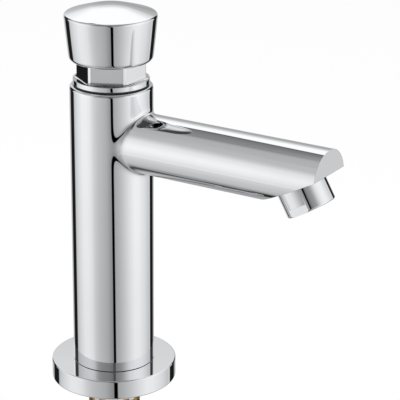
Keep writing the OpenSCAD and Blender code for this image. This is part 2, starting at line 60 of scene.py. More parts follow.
# Column and spout
COLUMN_R, COLUMN_FOOT, COLUMN_TOP, COLUMN_EDGE, FOOT_SEAM = 17.0, 8.2, 128.7, 1.2, 0.16
COLUMN_RINGS_Z = (34.0, 60.0)
SPIGOT_R, SPIGOT_FOOT, SHANK_BORE_R, SHANK_BORE_TOP, CHAMBER_FOOT = 13.0, 1.5, 11.05, 23.0, 25.0
BONNET_BORE_R, BONNET_BORE_FOOT, CHAMBER_TOP = 14.05, 119.0, 118.0
SPOUT_R, SPOUT_Z, SPOUT_REACH = 12.4, 106.3, 100.0
JUNCTION_SOFT, JUNCTION_LEAN, JUNCTION_LEAN_H, JUNCTION_WIDTH = 0.68, 0.015, 10.0, 5.0
NOSE_RISE, NOSE_ANGLE, CUT_ANGLE = 2.35, math.radians(30), math.radians(27.8)
HEEL_ROUND, HEEL_START, EDGE_ROUND, SHARP_EDGE = 2.9, 0.55, 0.45, math.radians(20)

# Outlet housing; its radius is a trifle smaller than in the source, so that it stays in the CAD box
OUTLET_R, OUTLET_LEN, OUTLET_OFFSET, OUTLET_FOOT_ROUND, OUTLET_EDGE = 9.98, 9.4, 13.5, 0.7, 0.3
OUTLET_NECK_R, OUTLET_NECK_TOP, OUTLET_SHOULDER = 8.5, 5.0, 1.0
OUTLET_BORE_R, OUTLET_LIP_R, OUTLET_LIP_H, OUTLET_LIP_EDGE = 7.2, 6.4, 1.0, 0.2
SPANNER_FLAT, SPANNER_FLAT_H, SPANNER_CUT = 9.1, 3.2, 20.0

# Flange and its gasket
FLANGE_R, FLANGE_H, FLANGE_FOOT_ROUND, FLANGE_TOP_ROUND = 26.2, 8.2, 0.6, 0.5
GASKET_R, GASKET_W, GASKET_H = 24.2, 5.0, 3.0

# Push button: the leans of its dome and wall are in degrees
BUTTON_FOOT_Z, BUTTON_TOP_Z, BUTTON_FOOT_R = 138.9, 162.1, 17.2
DOME_R, DOME_LEAN, DOME_SIDE_R, DOME_SIDE_LEAN = 32.7, 15.0, 170.1, 18.4
BUTTON_RIM_ROUND, BUTTON_FOOT_ROUND, BUTTON_SWELL = 1.0, 2.3, 0.2
WALL_TOP_LEAN, WALL_FOOT_LEAN, WALL_STEPS = 5, 7, 12
BUTTON_BORE_R, BUTTON_ROOF_Z, BUTTON_BORE_STEP = 14.75, 155.5, 0.05
BOSS_R, BOSS_Z, STEM_BORE_R = 6.5, 150.2, 4.05

# Bonnet nut and its gasket
COLLAR_R, COLLAR_Z, COLLAR_ROUND, COLLAR_GASKET_R = 15.6, 129.4, 0.25, 15.3
HEX_FLATS, HEX_CORNER_R, HEX_TURN, HEX_Z, HEX_TOP_Z = 25.0, 14.1, math.radians(26), 131.5, 141.0
HEX_FOOT_R, HEX_EDGE, HEX_WELL_R, HEX_WELL_Z = 1.3, 0.15, 6.5, 133.6
BONNET_R, BONNET_FOOT_Z, BONNET_BELL_R, BONNET_BELL_Z, BONNET_STEM_R = 14.0, 120.0, 10.05, 126.8, 4.2

# Shank with its two threads: the width of a thread's foot, its pitch and its number of turns
SHANK_R, SHANK_ROOT_R, SHANK_TOP, SHANK_END, SHANK_WAY_R = 11.0, 10.1, 17.2, -55.0, 6.0
TAIL_R, TAIL_ROOT_R, TAIL_TIP_R, TAIL_TOP = 10.48, 9.35, 8.9, -40.0
TAIL_STEP, TAIL_CHAMFER, KEY_FLATS, KEY_DEPTH = 0.6, 0.5, 12.2, 8.0
FIXING_THREAD, FIXING_START = (1.4, 1.5, 26.4), -39.4
PIPE_THREAD, PIPE_START = (1.8, 1.814, 6.6), -54.6
THREAD_CREST, THREAD_INSET, THREAD_BITE = 0.2, 0.04, 0.1

# Clamp under the deck
BUSH_R, BUSH_BORE_R, BUSH_WALL, BUSH_H, BUSH_EDGE = 13.6, 11.2, 0.7, 7.5, 0.15
BUSH_RIBS, RIB_W, RIB_BITE, RIB_ROUND = 16, 2.0, 0.4, 0.3
DECK_WASHER_R, DECK_WASHER_Z = 22.0, (-27.0, -24.0)
METAL_WASHER_R, METAL_WASHER_Z = 20.0, (-28.2, -27.0)
BACKNUT_FLATS, BACKNUT_Z, BACKNUT_BORE_R, BACKNUT_EDGE = 30.0, (-37.2, -28.2), 11.05, 0.2
BACKNUT_FACE_R, BACKNUT_CORNER_R, BACKNUT_CHAMFER_H = 14.25, 18.32, 2.35

# Return spring
SPRING_R, SPRING_WIRE_R, SPRING_Z, SPRING_TURNS, SPRING_INSET = 8.4, 0.8, (141.8, 155.5), 4, 0.05

# The camera of the photograph: where it stands in metres, how it is turned in degrees, and its lens
CAMERA_AT = (0.40265, -0.59021, 0.34214)
CAMERA_AZIMUTH, CAMERA_PITCH, CAMERA_ROLL = 31.40, 20.25, 0.433
CAMERA_LENS, CAMERA_FRAME = 165.64, 36.0


def arc(centre_x, centre_z, radius, start, end, steps):
    """Points of a round stretch of an outline, with its angles in degrees."""
    turns = [math.radians(start + (end - start) * i / steps) for i in range(steps + 1)]
    return [(centre_x + radius * math.cos(a), centre_z + radius * math.sin(a)) for a in turns]


def pick_only(piece):
    """Leaves one object selected and active."""
    bpy.ops.object.select_all(action="DESELECT")
    piece.select_set(True)
    bpy.context.view_layer.objects.active = piece


def named(piece, name):
    """Gives an object and its mesh the same name."""
    piece.name = piece.data.name = name
    return piece


def draw_outline(name, outline):
    """A new object, left in edit mode, that holds an outline in the XZ plane."""
    bpy.ops.object.select_all(action="DESELECT")
    bpy.ops.mesh.primitive_plane_add(size=MM)
    piece = named(bpy.context.object, name)
    bpy.ops.object.mode_set(mode="EDIT")
    bpy.ops.mesh.merge(type="CENTER")
    bpy.ops.transform.translate(value=(outline[0][0] * MM, 0, outline[0][1] * MM))
    for (x0, z0), (x1, z1) in zip(outline, outline[1:]):
        step = ((x1 - x0) * MM, 0, (z1 - z0) * MM)
        bpy.ops.mesh.extrude_region_move(TRANSFORM_OT_translate={"value": step})
    bpy.ops.mesh.select_all(action="SELECT")
    bpy.ops.mesh.remove_doubles(threshold=1e-6)
    return piece


def close_seams():
    """Merges doubles and turns all faces outwards, in edit mode, then leaves it."""
    bpy.ops.mesh.select_all(action="SELECT")
    bpy.ops.mesh.remove_doubles(threshold=1e-6)
    bpy.ops.mesh.normals_make_consistent(inside=False)
    bpy.ops.object.mode_set(mode="OBJECT")


def turned(name, outline, sides=192):
    """A piece turned on the Z axis from its outline."""
    piece = draw_outline(name, outline)
    bpy.ops.mesh.spin(steps=sides, angle=math.tau, center=(0, 0, 0), axis=(0, 0, 1))
    close_seams()
    return piece


def coiled(name, outline, pitch, turns, steps):
    """A strip that climbs round the Z axis, with its two ends closed."""
    piece = draw_outline(name, outline)
    bpy.ops.object.mode_set(mode="OBJECT")
    helix = piece.modifiers.new("helix", "SCREW")
    helix.angle = math.tau * turns
    helix.screw_offset = pitch * turns * MM
    helix.steps = helix.render_steps = int(steps * turns)
    helix.use_merge_vertices = False
    bpy.ops.object.modifier_apply(modifier=helix.name)
    bpy.ops.object.mode_set(mode="EDIT")
    bpy.ops.mesh.select_all(action="SELECT")
    bpy.ops.mesh.fill_holes(sides=len(outline))
    close_seams()
    return piece


def carve(piece, tool, operation):
    """Cuts or trims a piece with a tool object, which is then removed."""
    pick_only(piece)
    cut = piece.modifiers.new("cut", "BOOLEAN")
    cut.operation, cut.object, cut.solver = operation, tool, "EXACT"
    bpy.ops.object.modifier_apply(modifier=cut.name)
    bpy.data.objects.remove(tool)


def joined(piece, *others):
    """Makes one object of several."""
    pick_only(piece)
    for other in others:
        other.select_set(True)
    bpy.ops.object.join()
    return piece


def soften(piece, width, segments=3, angle=35):
    """Rounds the sharp edges of a piece."""
    pick_only(piece)
    edge = piece.modifiers.new("edge", "BEVEL")
    edge.width, edge.segments, edge.angle_limit = width * MM, segments, math.radians(angle)
    edge.limit_method = "ANGLE"
    bpy.ops.object.modifier_apply(modifier=edge.name)


def dress(piece, material, body, node):
    """Shades a finished piece, gives it its finish, and sets it in the frame for its CAD node."""
    pick_only(piece)
    bpy.ops.object.shade_smooth_by_angle(angle=SMOOTH_ANGLE)
    even = piece.modifiers.new("even", "WEIGHTED_NORMAL")
    even.keep_sharp, even.weight = True, 100
    bpy.ops.object.modifier_apply(modifier=even.name)
    piece.data.materials.clear()
    piece.data.materials.append(material)
    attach(piece, body)
    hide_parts(node)


class Value:
    """A socket of a node tree, with arithmetic that adds Math nodes."""

    def __init__(self, tree, socket=None):
        self.tree, self.socket = tree, socket

    def node(self, kind, settings=None, inputs=None, output=0):
        """Any node: its settings first, then its sockets' values or links; gives one output."""
        made = self.tree.nodes.new(kind)
        for key, value in (settings or {}).items():
            if key == "stops":
                ramp = made.color_ramp.elements
                while len(ramp) < len(value):
                    ramp.new(1.0)
                for stop, (position, grey) in zip(ramp, value):
                    stop.position = position
                    stop.color = (grey, grey, grey, 1)
            else:
                setattr(made, key, value)
        for key, value in (inputs or {}).items():
            if isinstance(value, Value):
                self.tree.links.new(value.socket, made.inputs[key])
            else:
                made.inputs[key].default_value = value
        return Value(self.tree, made.outputs[output])

    def maths(self, operation, *values):
        """One Math node."""
        return self.node("ShaderNodeMath", {"operation": operation}, dict(enumerate(values)))

    def __add__(self, other):
        return self.maths("ADD", self, other)

    def __sub__(self, other):
        return self.maths("SUBTRACT", self, other)

    def __rsub__(self, other):
        return self.maths("SUBTRACT", other, self)

    def __mul__(self, other):
        return self.maths("MULTIPLY", self, other)

    def __truediv__(self, other):
        return self.maths("DIVIDE", self, other)

    __radd__, __rmul__ = __add__, __mul__


def shade(factor, dark, light):
    """A colour between two, by a factor."""
    return factor.node("ShaderNodeMix", {"data_type": "RGBA"},
                       {"Factor": factor, 6: (*dark, 1), 7: (*light, 1)}, output=2)


def finish(name, make):
    """A new material; make gets its empty sheet of nodes and returns the shader's inputs."""
    material = bpy.data.materials.new(name)
    material.use_nodes = True
    material.node_tree.nodes.clear()
    sheet = Value(material.node_tree)
    surface = sheet.node("ShaderNodeBsdfPrincipled", None, make(sheet))
    out = material.node_tree.nodes.new("ShaderNodeOutputMaterial")
    material.node_tree.links.new(surface.socket, out.inputs["Surface"])
    return material


def place(sheet, stretch=(1, 1, 1)):
    """Object coordinates, stretched."""
    spot = sheet.node("ShaderNodeTexCoord", output="Object")
    return sheet.node("ShaderNodeMapping", None, {"Vector": spot, "Scale": stretch})


def grain(sheet, spot, scale, detail=3.0):
    """Noise from 0 to 1, with about scale waves to the metre."""
    return sheet.node("ShaderNodeTexNoise", None, {"Vector": spot, "Scale": scale, "Detail": detail})


def relief(sheet, height, depth, strength):
    """A bump from a height of 0 to 1 and its depth in metres."""
    return sheet.node("ShaderNodeBump", None, {"Height": height, "Distance": depth, "Strength": strength})


def chrome_finish(sheet):
    """Polished chrome with faint clouds and wiping marks."""
    cloud, wipe = grain(sheet, place(sheet), 35), grain(sheet, place(sheet, (1, 1, 0.15)), 420)
    return {"Base Color": shade(cloud, (0.80, 0.81, 0.83), (0.86, 0.87, 0.885)),
            "Metallic": 1.0,
            "Roughness": 0.012 + cloud * 0.012 + wipe * 0.01,
            "Normal": relief(sheet, wipe, 0.00001, 0.15)}


def brass_finish(sheet):
    """Bare brass with fine turning marks."""
    cloud, turning = grain(sheet, place(sheet), 90), grain(sheet, place(sheet, (0.1, 0.1, 1)), 2600)
    return {"Base Color": shade(cloud, (0.56, 0.40, 0.17), (0.72, 0.55, 0.27)),
            "Metallic": 1.0,
            "Roughness": 0.22 + cloud * 0.14,
            "Normal": relief(sheet, turning, 0.00003, 0.35)}


def steel_finish(sheet):
    """Satin steel, brushed one way."""
    cloud, brushing = grain(sheet, place(sheet), 80), grain(sheet, place(sheet, (1, 0.05, 1)), 3000)
    return {"Base Color": shade(cloud, (0.50, 0.50, 0.51), (0.63, 0.63, 0.64)),
            "Metallic": 1.0,
            "Roughness": 0.26 + brushing * 0.16,
            "Normal": relief(sheet, brushing, 0.00002, 0.3)}


def rubber_finish(sheet):
    """Matt black rubber with fine pores."""
    cloud, pores = grain(sheet, place(sheet), 140), grain(sheet, place(sheet), 2800)
    return {"Base Color": shade(cloud, (0.012, 0.012, 0.013), (0.028, 0.028, 0.029)),
            "Roughness": 0.58 + cloud * 0.2,
            "Normal": relief(sheet, pores, 0.00006, 0.4)}


def moulded_finish(dark, light, roughness):
    """A moulded plastic between two colours."""
    def make(sheet):
        cloud, skin = grain(sheet, place(sheet), 120), grain(sheet, place(sheet), 1800)
        return {"Base Color": shade(cloud, dark, light),
                "Roughness": roughness + cloud * 0.12,
                "Normal": relief(sheet, skin, 0.00004, 0.25)}
    return make


CHROME = finish("polished_chrome", chrome_finish)
BRASS = finish("turned_brass", brass_finish)
STEEL = finish("satin_steel", steel_finish)
RUBBER = finish("black_rubber", rubber_finish)
ACETAL = finish("white_acetal", moulded_finish((0.74, 0.74, 0.70), (0.84, 0.84, 0.81), 0.38))
GREEN = finish("green_plastic", moulded_finish((0.10, 0.33, 0.20), (0.16, 0.42, 0.27), 0.4))

# The body's skin: a patch of column wall round the junction, the rounded junction, the spout
PATCH_SIDE = 60
PATCH_ANGLE, PATCH_H = 1.4, 19.0
AROUND = 4 * PATCH_SIDE


def spout_angles():
    """Angles round the spout, with one at each end of the nose's straight edge."""
    angles = [math.tau * i / AROUND - math.pi / 4 for i in range(AROUND)]
    edge = math.asin(NOSE_RISE / SPOUT_R)
    for corner in (edge, math.pi - edge):
        nearest = min(range(AROUND), key=lambda i: abs(angles[i] - corner))
        angles[nearest] = corner
    return angles


def patch_edge(i):
    """Point i on the patch's straight edges: its angle on the column, its height from the spout."""
    side, step = divmod(i, PATCH_SIDE)
    along = 2 * step / PATCH_SIDE - 1
    turn, rise = [(1, along), (-along, 1), (-1, -along), (along, -1)][side]
    return turn * PATCH_ANGLE, rise * PATCH_H


def settled(point):
    """A point moved on to the skin, in which the column and the spout run softly into each other."""
    for _ in range(8):
        soft = JUNCTION_SOFT + JUNCTION_LEAN * max(-JUNCTION_LEAN_H, min(JUNCTION_LEAN_H, point.z))
        column, spout = Vector((point.x, point.y, 0)), Vector((0, point.y, point.z))
        off_column, off_spout = column.length - COLUMN_R, spout.length - SPOUT_R
        near = min(off_column, off_spout)
        by_column, by_spout = (math.exp((near - off) / soft) for off in (off_column, off_spout))
        both = by_column + by_spout
        off = near - soft * math.log(both)
        slope = (column.normalized() * by_column + spout.normalized() * by_spout) / both
        point = point - slope * off / slope.length_squared
    return point


def skin_lines(wall_steps=24, half_round=12, spout_steps=16):
    """One line of points for each angle: over the wall, round the junction, along the spout."""
    lines = []
    for i, angle in enumerate(spout_angles()):
        out = Vector((0, math.cos(angle), math.sin(angle)))
        corner = Vector((0, SPOUT_R * out.y, SPOUT_R * out.z))
        corner.x = math.sqrt(COLUMN_R ** 2 - corner.y ** 2)
        corner_turn = math.atan2(corner.y, corner.x)
        away = Vector((out.y * corner.x / COLUMN_R, out.z)).normalized() * JUNCTION_WIDTH
        start_turn, start_rise = corner_turn + away.x / COLUMN_R, corner.z + away.y
        turn, rise = patch_edge(i)
        wall = []
        for step in range(wall_steps):
            share = step / wall_steps
            wall.append((turn + share * (start_turn - turn), rise + share * (start_rise - rise)))
        for step in range(half_round):
            share = step / half_round
            wall.append((start_turn + share * (corner_turn - start_turn),
                         start_rise + share * (corner.z - start_rise)))
        line = [Vector((COLUMN_R * math.cos(a), COLUMN_R * math.sin(a), z)) for a, z in wall]
        line += [corner + Vector((JUNCTION_WIDTH * step / half_round, 0, 0)) for step in range(half_round)]
        line = line[:1] + [settled(p) for p in line[1:]]
        foot = corner.x + JUNCTION_WIDTH
        end = SPOUT_REACH - max(0, NOSE_RISE - SPOUT_R * out.z) / math.tan(CUT_ANGLE)
        for step in range(spout_steps + 1):
            line.append(Vector((foot + (end - foot) * step / spout_steps, corner.y, corner.z)))
        lines.append([p + Vector((0, 0, SPOUT_Z)) for p in line])
    return lines


def round_heel(piece):
    """Rounds the body's edges, and the lowest part of the spout's slanted cut more than the rest."""
    bpy.ops.object.mode_set(mode="EDIT")
    bpy.ops.mesh.select_all(action="DESELECT")
    bpy.ops.mesh.edges_select_sharp(sharpness=SHARP_EDGE)
    bpy.ops.object.mode_set(mode="OBJECT")
    mesh = piece.data
    weights = mesh.attributes.new("bevel_weight_edge", "FLOAT", "EDGE")
    for edge in mesh.edges:
        if edge.select:
            first, second = (mesh.vertices[i].co for i in edge.vertices)
            middle = (first + second) / 2 / MM
            low = (SPOUT_Z - middle.z) / SPOUT_R if middle.x > SPOUT_REACH / 2 else 0
            share = max(0, (low - HEEL_START) / (1 - HEEL_START)) ** 2
            width = EDGE_ROUND + (HEEL_ROUND - EDGE_ROUND) * share
            weights.data[edge.index].value = width / HEEL_ROUND
    rounding = piece.modifiers.new("rounding", "BEVEL")
    rounding.width, rounding.segments, rounding.limit_method = HEEL_ROUND * MM, 4, "WEIGHT"
    bpy.ops.object.modifier_apply(modifier=rounding.name)


def body_skin(back_steps=124):
    """The column and spout as one skin with a rounded junction between them."""
    points, faces = [], []
    lines = skin_lines()
    rows = len(lines[0])
    for line in lines:
        points.extend(line)
    for i in range(AROUND):
        a, b = i * rows, (i + 1) % AROUND * rows
        faces.extend((a + j, b + j, b + j + 1, a + j + 1) for j in range(rows - 1))
    tips = [i * rows + rows - 1 for i in range(AROUND)]
    face_tips = [i for i in range(AROUND) if lines[i][-1].x > SPOUT_REACH - 1e-6]
    first, last = face_tips[0], face_tips[-1]
    faces.append(tips[first:last + 1])
    faces.append(tips[last:] + tips[:first + 1])

    low, high = SPOUT_Z - PATCH_H, SPOUT_Z + PATCH_H
    foot = COLUMN_FOOT + FOOT_SEAM
    below = [(SHANK_BORE_R, SPIGOT_FOOT), (SPIGOT_R, SPIGOT_FOOT), (SPIGOT_R, foot), (COLUMN_R, foot)]
    below += [(COLUMN_R, z) for z in COLUMN_RINGS_Z]
    beside = [(COLUMN_R, low + (high - low) * k / PATCH_SIDE) for k in range(PATCH_SIDE + 1)]
    above = arc(COLUMN_R - COLUMN_EDGE, COLUMN_TOP - COLUMN_EDGE, COLUMN_EDGE, 0, 90, 8)
    above += [(BONNET_BORE_R, COLUMN_TOP), (BONNET_BORE_R, BONNET_BORE_FOOT), (SPIGOT_R, CHAMBER_TOP)]
    above += [(SPIGOT_R, CHAMBER_FOOT), (SHANK_BORE_R, SHANK_BORE_TOP)]
    outline = below + beside + above
    turns = [PATCH_ANGLE * (2 * k / PATCH_SIDE - 1) for k in range(PATCH_SIDE)]
    gap = math.tau - 2 * PATCH_ANGLE
    turns += [PATCH_ANGLE + gap * k / back_steps for k in range(back_steps)]
    start, count = len(points), len(turns)
    for r, z in outline:
        points.extend(Vector((r * math.cos(a), r * math.sin(a), z)) for a in turns)
    for row in range(len(outline)):
        here, there = start + row * count, start + (row + 1) % len(outline) * count
        in_patch = len(below) <= row < len(below) + PATCH_SIDE
        for k in range(PATCH_SIDE if in_patch else 0, count):
            n = (k + 1) % count
            faces.append((here + k, here + n, there + n, there + k))

    mesh = bpy.data.meshes.new("body_skin")
    mesh.from_pydata([p * MM for p in points], [], faces)
    piece = bpy.data.objects.new("body_skin", mesh)
    bpy.context.collection.objects.link(piece)
    pick_only(piece)
    bpy.ops.object.mode_set(mode="EDIT")
    bpy.ops.mesh.select_all(action="SELECT")
    bpy.ops.mesh.delete_loose()
    close_seams()
    round_heel(piece)
    return piece


def hexagon(name, flats, z0, z1, corner):
    """A hexagonal prism with a corner at the given angle."""
    bpy.ops.object.select_all(action="DESELECT")
    bpy.ops.mesh.primitive_cylinder_add(
        vertices=6, radius=flats / 2 / math.cos(math.pi / 6) * MM, depth=(z1 - z0) * MM,
        location=(0, 0, (z0 + z1) / 2 * MM), rotation=(0, 0, corner - math.pi / 2))
    bpy.ops.object.transform_apply(location=True, rotation=True, scale=True)
    return named(bpy.context.object, name)


def base_flange():
    """A disc with a bore for the column's spigot and a groove for its gasket."""
    bore, low, high = SPIGOT_R + CLEARANCE, FLANGE_FOOT_ROUND, FLANGE_TOP_ROUND
    groove_in, groove_out = GASKET_R - GASKET_W - CLEARANCE, GASKET_R + CLEARANCE
    outline = [(bore, 0.0), (groove_in, 0.0), (groove_in, GASKET_H)]
    outline += [(groove_out, GASKET_H), (groove_out, 0.0)]
    outline += arc(FLANGE_R - low, low, low, -90, 0, 8)
    outline += arc(FLANGE_R - high, FLANGE_H - high, high, 0, 90, 8)
    outline += [(bore, FLANGE_H), (bore, 0.0)]
    return turned("flange_disc", outline, 256)


def push_button():
    """A hollow cone that widens upwards, with a dome of two arcs and a rounded rim and foot."""
    dome_end, side_end = 90 - DOME_LEAN, 90 - DOME_SIDE_LEAN
    dome_z, side_off, turn = BUTTON_TOP_Z - DOME_R, DOME_SIDE_R - DOME_R, math.radians(dome_end)
    side_x, side_z = -side_off * math.cos(turn), dome_z - side_off * math.sin(turn)
    outline = arc(0, dome_z, DOME_R, 90, dome_end, 30)
    outline += arc(side_x, side_z, DOME_SIDE_R, dome_end, side_end, 24)[1:]
    rim_x, rim_z = outline[-1]
    rim_x -= BUTTON_RIM_ROUND * math.sin(math.radians(DOME_SIDE_LEAN))
    rim_z -= BUTTON_RIM_ROUND * math.cos(math.radians(DOME_SIDE_LEAN))
    outline += arc(rim_x, rim_z, BUTTON_RIM_ROUND, side_end, -WALL_TOP_LEAN, 10)[1:]
    top_x, top_z = outline[-1]
    foot = arc(BUTTON_FOOT_R - BUTTON_FOOT_ROUND, BUTTON_FOOT_Z + BUTTON_FOOT_ROUND,
               BUTTON_FOOT_ROUND, -WALL_FOOT_LEAN, -90, 12)
    foot_x, foot_z = foot[0]
    for step in range(1, WALL_STEPS):
        s = step / WALL_STEPS
        swell = BUTTON_SWELL * s * (1 - s)
        outline.append((top_x + (foot_x - top_x) * s + swell, top_z + (foot_z - top_z) * s))
    bore_z, stem_z = BUTTON_FOOT_Z + BUTTON_BORE_STEP, BUTTON_ROOF_Z + BUTTON_BORE_STEP
    outline += foot + [(BUTTON_BORE_R, bore_z), (BUTTON_BORE_R, BUTTON_ROOF_Z)]
    outline += [(BOSS_R, BUTTON_ROOF_Z), (BOSS_R, BOSS_Z), (STEM_BORE_R, BOSS_Z)]
    outline += [(STEM_BORE_R, stem_z), (0, stem_z)]
    return turned("button_cap", outline, 224)


def flare_foot(piece, steps=8):
    """Draws the hexagon's underside down and out in a hollow round."""
    pick_only(piece)
    bpy.ops.object.mode_set(mode="EDIT")
    bpy.ops.mesh.select_all(action="DESELECT")
    bpy.ops.object.mode_set(mode="OBJECT")
    lowest = min(v.co.z for v in piece.data.vertices)
    for face in piece.data.polygons:
        face.select = face.normal.z < -0.9 and face.center.z < lowest + 0.1 * MM
    bpy.ops.object.mode_set(mode="EDIT")
    bpy.ops.mesh.select_mode(type="FACE")
    on_axis = Vector((0, 0, 0))
    before, flat_r = (0.0, 0.0), HEX_FLATS / 2
    for step in range(1, steps + 1):
        a = math.radians(90 * step / steps)
        out, down = HEX_FOOT_R * (1 - math.cos(a)), HEX_FOOT_R * math.sin(a)
        wider = (flat_r + out) / (flat_r + before[0])
        drop = (0, 0, (before[1] - down) * MM)
        bpy.ops.mesh.extrude_region_move(TRANSFORM_OT_translate={"value": drop})
        bpy.ops.transform.resize(value=(wider, wider, 1), center_override=on_axis)
        before = (out, down)
    bpy.ops.mesh.select_mode(type="VERT")
    bpy.ops.object.mode_set(mode="OBJECT")


def bonnet_nut():
    """A collar over a bell that enters the column, with a hexagon on top."""
    low, high = COLLAR_Z + COLLAR_ROUND, HEX_Z - COLLAR_ROUND
    outline = [(BONNET_BELL_R, BONNET_FOOT_Z), (BONNET_R, BONNET_FOOT_Z), (BONNET_R, COLLAR_Z)]
    outline += arc(COLLAR_R - COLLAR_ROUND, low, COLLAR_ROUND, -90, 0, 4)
    outline += arc(COLLAR_R - COLLAR_ROUND, high, COLLAR_ROUND, 0, 90, 4)
    outline += [(BONNET_STEM_R, HEX_Z), (BONNET_STEM_R, BONNET_BELL_Z)]
    outline += [(BONNET_BELL_R, BONNET_BELL_Z), (BONNET_BELL_R, BONNET_FOOT_Z)]
    collar = turned("bonnet_collar", outline)
    flats = hexagon("bonnet_flats", HEX_FLATS, HEX_Z + HEX_FOOT_R, HEX_TOP_Z, HEX_TURN)
    top = HEX_TOP_Z + OVERCUT
    blank = [(0, HEX_Z), (HEX_CORNER_R, HEX_Z), (HEX_CORNER_R, top), (0, top)]
    carve(flats, turned("bonnet_blank", blank, 360), "INTERSECT")
    soften(flats, HEX_EDGE, segments=2, angle=20)
    flare_foot(flats)
    well = [(0, HEX_WELL_Z), (HEX_WELL_R, HEX_WELL_Z), (HEX_WELL_R, top), (0, top)]
    carve(flats, turned("bonnet_bore", well, 96), "DIFFERENCE")
    return joined(collar, flats)


def outlet_housing():
    """A short sleeve with spanner flats, square to the slanted nose."""
    end, edge, lip_top = -OUTLET_LEN, OUTLET_FOOT_ROUND, OUTLET_LIP_H - OUTLET_LEN
    outline = [(OUTLET_NECK_R, OUTLET_NECK_TOP), (OUTLET_NECK_R, OUTLET_SHOULDER)]
    outline += [(OUTLET_R, OUTLET_SHOULDER)] + arc(OUTLET_R - edge, end + edge, edge, 0, -90, 6)
    outline += [(OUTLET_LIP_R + OUTLET_LIP_EDGE, end), (OUTLET_LIP_R, end + OUTLET_LIP_EDGE)]
    outline += [(OUTLET_LIP_R, lip_top), (OUTLET_BORE_R, lip_top), (OUTLET_BORE_R, OUTLET_NECK_TOP)]
    housing = turned("outlet_sleeve", outline + outline[:1], 160)
    cut_y, cut_z = SPANNER_FLAT + SPANNER_CUT / 2, end + SPANNER_FLAT_H - SPANNER_CUT / 2
    for side in (-1, 1):
        bpy.ops.object.select_all(action="DESELECT")
        bpy.ops.mesh.primitive_cube_add(size=SPANNER_CUT * MM, location=(0, side * cut_y * MM, cut_z * MM))
        bpy.ops.object.transform_apply(location=True, rotation=True, scale=True)
        carve(housing, bpy.context.object, "DIFFERENCE")
    soften(housing, OUTLET_EDGE)
    x = SPOUT_REACH - OUTLET_OFFSET * math.cos(NOSE_ANGLE)
    z = SPOUT_Z + NOSE_RISE - OUTLET_OFFSET * math.sin(NOSE_ANGLE)
    lean = Matrix.Rotation(-NOSE_ANGLE, 4, "Y")
    housing.matrix_world = Matrix.Translation((x * MM, 0, z * MM)) @ lean
    pick_only(housing)
    bpy.ops.object.transform_apply(location=True, rotation=True, scale=True)
    return housing


def thread(name, root, crest, start, width, pitch, turns):
    """A raised thread with a flat crest, that starts at a height and is sunk a little in its root."""
    root, crest, side = root - THREAD_BITE, crest - THREAD_INSET, (width - THREAD_CREST) / 2
    ridge = [(root, start), (crest, start + side), (crest, start + side + THREAD_CREST)]
    ridge += [(root, start + width), (root, start)]
    return coiled(name, ridge, pitch, turns, 64)


def inlet_shank():
    """A tube with a fixing thread, a pipe thread at its end and a hexagon socket in it."""
    outline = [(SHANK_WAY_R, SHANK_TOP), (SHANK_ROOT_R, SHANK_TOP), (SHANK_ROOT_R, TAIL_TOP)]
    outline += [(TAIL_ROOT_R, TAIL_TOP - TAIL_STEP), (TAIL_ROOT_R, SHANK_END + TAIL_CHAMFER)]
    outline += [(TAIL_TIP_R, SHANK_END), (SHANK_WAY_R, SHANK_END), (SHANK_WAY_R, SHANK_TOP)]
    shank = turned("shank_tube", outline, 128)
    socket = hexagon("key_socket", KEY_FLATS, SHANK_END - OVERCUT, SHANK_END + KEY_DEPTH, 0)
    carve(shank, socket, "DIFFERENCE")
    fixing = thread("fixing_thread", SHANK_ROOT_R, SHANK_R, FIXING_START, *FIXING_THREAD)
    pipe = thread("pipe_thread", TAIL_ROOT_R, TAIL_R, PIPE_START, *PIPE_THREAD)
    return joined(shank, fixing, pipe)


def washer(name, outer, inner, low, high, edge):
    """A flat ring with rounded outer edges."""
    outline = [(inner, low)] + arc(outer - edge, low + edge, edge, -90, 0, 4)
    outline += arc(outer - edge, high - edge, edge, 0, 90, 4) + [(inner, high), (inner, low)]
    return turned(name, outline, 128)


def hole_bush():
    """A thin sleeve round the shank with ribs that stand in the deck's hole."""
    sleeve = washer("hole_bush", BUSH_BORE_R + BUSH_WALL, BUSH_BORE_R, -BUSH_H, 0.0, BUSH_EDGE)
    rib_from = BUSH_BORE_R + RIB_BITE
    rib_mid = (rib_from + BUSH_R) / 2
    ribs = []
    for i in range(BUSH_RIBS):
        a = math.tau * i / BUSH_RIBS
        middle = Vector((rib_mid * math.cos(a), rib_mid * math.sin(a), -BUSH_H / 2)) * MM
        bpy.ops.object.select_all(action="DESELECT")
        bpy.ops.mesh.primitive_cube_add(size=MM, location=middle, rotation=(0, 0, a),
                                        scale=(BUSH_R - rib_from, RIB_W, BUSH_H))
        bpy.ops.object.transform_apply(location=True, rotation=True, scale=True)
        ribs.append(named(bpy.context.object, f"bush_rib_{i}"))
        soften(ribs[-1], RIB_ROUND)
    return joined(sleeve, *ribs)


def backnut():
    """A hexagon nut with both faces chamfered."""
    low, high = BACKNUT_Z
    nut = hexagon("clamp_nut", BACKNUT_FLATS, low, high, 0)
    cone = [(0, low), (BACKNUT_FACE_R, low), (BACKNUT_CORNER_R, low + BACKNUT_CHAMFER_H)]
    cone += [(BACKNUT_CORNER_R, high - BACKNUT_CHAMFER_H), (BACKNUT_FACE_R, high), (0, high)]
    carve(nut, turned("nut_blank", cone, 96), "INTERSECT")
    foot, top = low - OVERCUT, high + OVERCUT
    bore = [(0, foot), (BACKNUT_BORE_R, foot), (BACKNUT_BORE_R, top), (0, top)]
    carve(nut, turned("nut_bore", bore, 96), "DIFFERENCE")
    soften(nut, BACKNUT_EDGE, segments=2, angle=25)
    return nut


